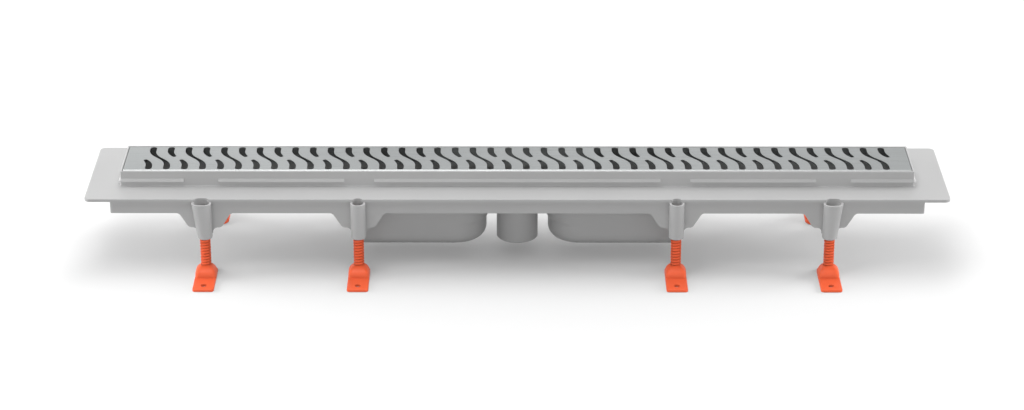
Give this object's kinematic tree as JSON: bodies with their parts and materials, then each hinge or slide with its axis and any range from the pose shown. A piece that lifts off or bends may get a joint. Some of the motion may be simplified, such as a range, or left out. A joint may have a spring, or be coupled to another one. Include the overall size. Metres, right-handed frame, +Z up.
{
  "type": "linear shower channel drain",
  "caption": "Long shower channel drain with a wave-slotted steel grate, a moulded trough with a bonding flange, twin sumps, a vertical outlet and screw-adjustable feet.",
  "frame": {"origin": "on the ground between the feet, under the middle of the channel", "axes": "+X along the channel, -Y towards the front, +Z up out of the grate"},
  "size_m": [0.852, 0.221, 0.096],
  "materials": {
    "channel_plastic": "moulded, fine grain",
    "stainless": "brushed along the length",
    "trap_plastic": "moulded",
    "seal_rubber": "smooth",
    "leg_plastic": "moulded, satin"
  },
  "bodies": {
    "channel": {"channel_body": "channel_plastic", "grate": "stainless", "trap_insert": "trap_plastic", "trap_seal": "seal_rubber"},
    "foot_front_1": {"foot_front_1": "leg_plastic"},
    "rod_front_1": {"rod_front_1": "leg_plastic"},
    "foot_front_2": {"foot_front_2": "leg_plastic"},
    "rod_front_2": {"rod_front_2": "leg_plastic"},
    "foot_front_3": {"foot_front_3": "leg_plastic"},
    "rod_front_3": {"rod_front_3": "leg_plastic"},
    "foot_front_4": {"foot_front_4": "leg_plastic"},
    "rod_front_4": {"rod_front_4": "leg_plastic"},
    "foot_back_1": {"foot_back_1": "leg_plastic"},
    "rod_back_1": {"rod_back_1": "leg_plastic"},
    "foot_back_2": {"foot_back_2": "leg_plastic"},
    "rod_back_2": {"rod_back_2": "leg_plastic"},
    "foot_back_3": {"foot_back_3": "leg_plastic"},
    "rod_back_3": {"rod_back_3": "leg_plastic"},
    "foot_back_4": {"foot_back_4": "leg_plastic"},
    "rod_back_4": {"rod_back_4": "leg_plastic"}
  },
  "joints": [
    {"name": "height_front_1", "type": "slide", "parent": "channel", "child": "foot_front_1", "axis": [0, 0, 1], "range_m": [-0.018, 0.009]},
    {"name": "turn_front_1", "type": "hinge", "parent": "foot_front_1", "child": "rod_front_1", "pos_m": [-0.308, -0.0695, 0], "axis": [0, 0, 1], "range_deg": [-2165, 1085]},
    {"name": "height_front_2", "type": "slide", "parent": "channel", "child": "foot_front_2", "axis": [0, 0, 1], "range_m": [-0.018, 0.009]},
    {"name": "turn_front_2", "type": "hinge", "parent": "foot_front_2", "child": "rod_front_2", "pos_m": [-0.1567, -0.0695, 0], "axis": [0, 0, 1], "range_deg": [-2165, 1085]},
    {"name": "height_front_3", "type": "slide", "parent": "channel", "child": "foot_front_3", "axis": [0, 0, 1], "range_m": [-0.018, 0.009]},
    {"name": "turn_front_3", "type": "hinge", "parent": "foot_front_3", "child": "rod_front_3", "pos_m": [0.1567, -0.0695, 0], "axis": [0, 0, 1], "range_deg": [-2165, 1085]},
    {"name": "height_front_4", "type": "slide", "parent": "channel", "child": "foot_front_4", "axis": [0, 0, 1], "range_m": [-0.018, 0.009]},
    {"name": "turn_front_4", "type": "hinge", "parent": "foot_front_4", "child": "rod_front_4", "pos_m": [0.308, -0.0695, 0], "axis": [0, 0, 1], "range_deg": [-2165, 1085]},
    {"name": "height_back_1", "type": "slide", "parent": "channel", "child": "foot_back_1", "axis": [0, 0, 1], "range_m": [-0.018, 0.009]},
    {"name": "turn_back_1", "type": "hinge", "parent": "foot_back_1", "child": "rod_back_1", "pos_m": [-0.308, 0.0695, 0], "axis": [0, 0, 1], "range_deg": [-2165, 1085]},
    {"name": "height_back_2", "type": "slide", "parent": "channel", "child": "foot_back_2", "axis": [0, 0, 1], "range_m": [-0.018, 0.009]},
    {"name": "turn_back_2", "type": "hinge", "parent": "foot_back_2", "child": "rod_back_2", "pos_m": [-0.1567, 0.0695, 0], "axis": [0, 0, 1], "range_deg": [-2165, 1085]},
    {"name": "height_back_3", "type": "slide", "parent": "channel", "child": "foot_back_3", "axis": [0, 0, 1], "range_m": [-0.018, 0.009]},
    {"name": "turn_back_3", "type": "hinge", "parent": "foot_back_3", "child": "rod_back_3", "pos_m": [0.1567, 0.0695, 0], "axis": [0, 0, 1], "range_deg": [-2165, 1085]},
    {"name": "height_back_4", "type": "slide", "parent": "channel", "child": "foot_back_4", "axis": [0, 0, 1], "range_m": [-0.018, 0.009]},
    {"name": "turn_back_4", "type": "hinge", "parent": "foot_back_4", "child": "rod_back_4", "pos_m": [0.308, 0.0695, 0], "axis": [0, 0, 1], "range_deg": [-2165, 1085]}
  ],
  "couplings": [
    {"joint": "turn_front_1", "follows": "height_front_1", "rad_per_m": 2094.4},
    {"joint": "turn_front_2", "follows": "height_front_2", "rad_per_m": 2094.4},
    {"joint": "turn_front_3", "follows": "height_front_3", "rad_per_m": 2094.4},
    {"joint": "turn_front_4", "follows": "height_front_4", "rad_per_m": 2094.4},
    {"joint": "turn_back_1", "follows": "height_back_1", "rad_per_m": 2094.4},
    {"joint": "turn_back_2", "follows": "height_back_2", "rad_per_m": 2094.4},
    {"joint": "turn_back_3", "follows": "height_back_3", "rad_per_m": 2094.4},
    {"joint": "turn_back_4", "follows": "height_back_4", "rad_per_m": 2094.4}
  ]
}
